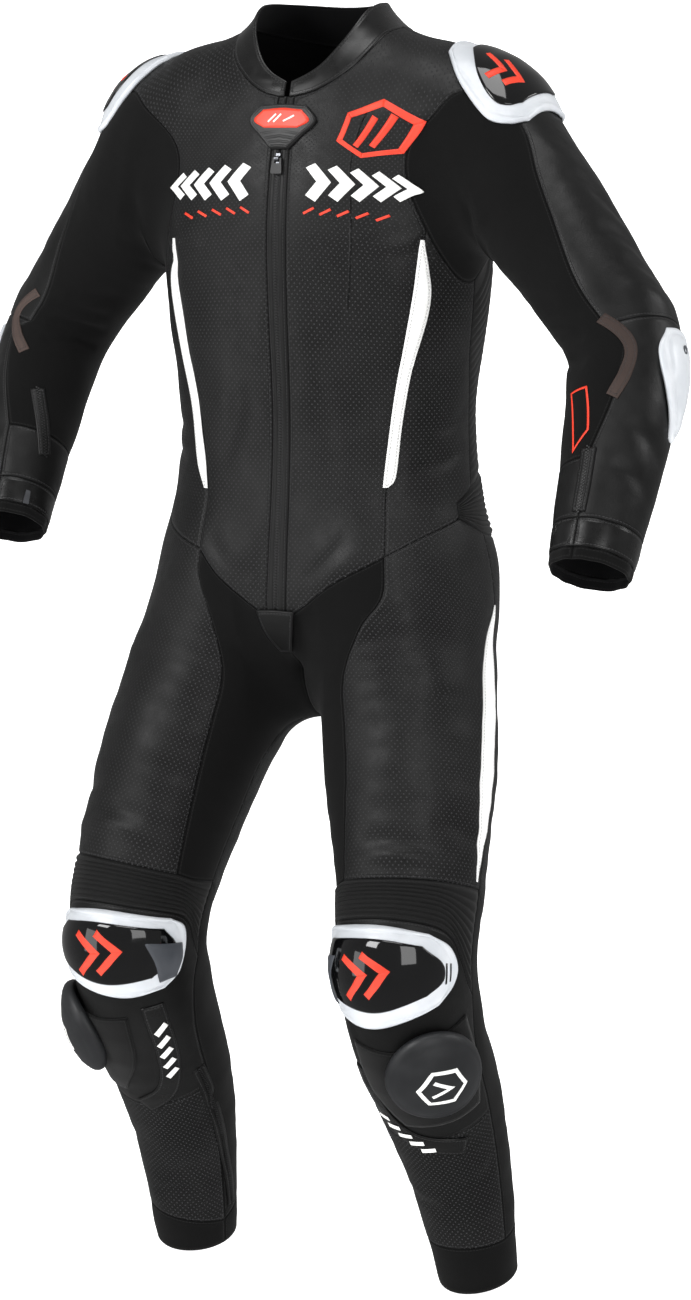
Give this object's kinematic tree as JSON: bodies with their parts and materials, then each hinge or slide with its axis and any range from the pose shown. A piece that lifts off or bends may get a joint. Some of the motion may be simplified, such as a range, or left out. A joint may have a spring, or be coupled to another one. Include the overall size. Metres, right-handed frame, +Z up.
{
  "type": "motorcycle race suit",
  "caption": "One-piece leather race suit, hollow and filled out in a standing pose, with zip, stretch panels, hard cups and knee sliders.",
  "frame": {"origin": "between the shoulders inside the suit, at the height of the side neck points, where the wearer's shoulders carry it", "axes": "+Z up, -Y is the suit's front, +X is the wearer's left"},
  "size_m": [0.8868, 0.402, 1.4092],
  "materials": {
    "leather_black": "perforated cowhide, matt",
    "leather_white": "smooth coated leather",
    "leather_smooth": "smooth shiny leather",
    "stretch_fabric": "ribbed aramid stretch",
    "hook_loop": "loop pile",
    "cup_white": "moulded satin TPU",
    "insert_black": "gloss",
    "slider_puck": "moulded polyurethane",
    "garage_red": "moulded satin",
    "zip_metal": "die cast, dark",
    "pull_rubber": "moulded"
  },
  "bodies": {
    "suit": {"front_panel_L": "leather_black", "zip_placket_L": "leather_black", "side_front_L": "leather_black", "side_stretch_L": "stretch_fabric", "upper_sleeve_L": "leather_black", "sleeve_stretch_L": "stretch_fabric", "forearm_outer_L": "leather_black", "forearm_under_L": "leather_black", "cuff_band_L": "leather_smooth", "crotch_stretch_L": "stretch_fabric", "thigh_front_L": "leather_black", "thigh_back_L": "leather_black", "knee_stretch_L": "stretch_fabric", "knee_panel_L": "stretch_fabric", "shin_front_L": "leather_black", "calf_L": "stretch_fabric", "hem_L": "stretch_fabric", "front_panel_R": "leather_black", "zip_placket_R": "leather_black", "side_front_R": "leather_black", "side_stretch_R": "stretch_fabric", "upper_sleeve_R": "leather_black", "sleeve_stretch_R": "stretch_fabric", "forearm_outer_R": "leather_black", "forearm_under_R": "leather_black", "cuff_band_R": "leather_smooth", "crotch_stretch_R": "stretch_fabric", "thigh_front_R": "leather_black", "thigh_back_R": "leather_black", "knee_stretch_R": "stretch_fabric", "knee_panel_R": "stretch_fabric", "shin_front_R": "leather_black", "calf_R": "stretch_fabric", "hem_R": "stretch_fabric", "back_panel": "leather_black", "lumbar_stretch": "stretch_fabric", "collar": "leather_smooth", "front_stripe_L": "leather_white", "side_stripe_L": "leather_white", "shoulder_cup_L": "cup_white", "shoulder_insert_L": "insert_black", "elbow_cup_L": "cup_white", "knee_cup_L": "cup_white", "knee_insert_L": "insert_black", "slider_base_L": "hook_loop", "knee_slider_L": "slider_puck", "front_stripe_R": "leather_white", "side_stripe_R": "leather_white", "shoulder_cup_R": "cup_white", "shoulder_insert_R": "insert_black", "elbow_cup_R": "cup_white", "knee_cup_R": "cup_white", "knee_insert_R": "insert_black", "slider_base_R": "hook_loop", "knee_slider_R": "slider_puck", "zip_garage": "garage_red", "zip_end_patch": "leather_black", "zip_slider": "zip_metal"},
    "chest_pull": {"zip_pull": "pull_rubber"},
    "cuff_pull": {"cuff_pull_R": "zip_metal"}
  },
  "joints": [
    {"name": "chest_pull_hinge", "type": "hinge", "parent": "suit", "child": "chest_pull", "pos_m": [0, -0.12348, -0.14265], "axis": [-1, 0, 0], "range_deg": [0, 120]},
    {"name": "cuff_pull_hinge", "type": "hinge", "parent": "suit", "child": "cuff_pull", "pos_m": [-0.30915, -0.11775, -0.50775], "axis": [-0.6784, -0.6594, 0.3242], "range_deg": [0, 90]}
  ]
}
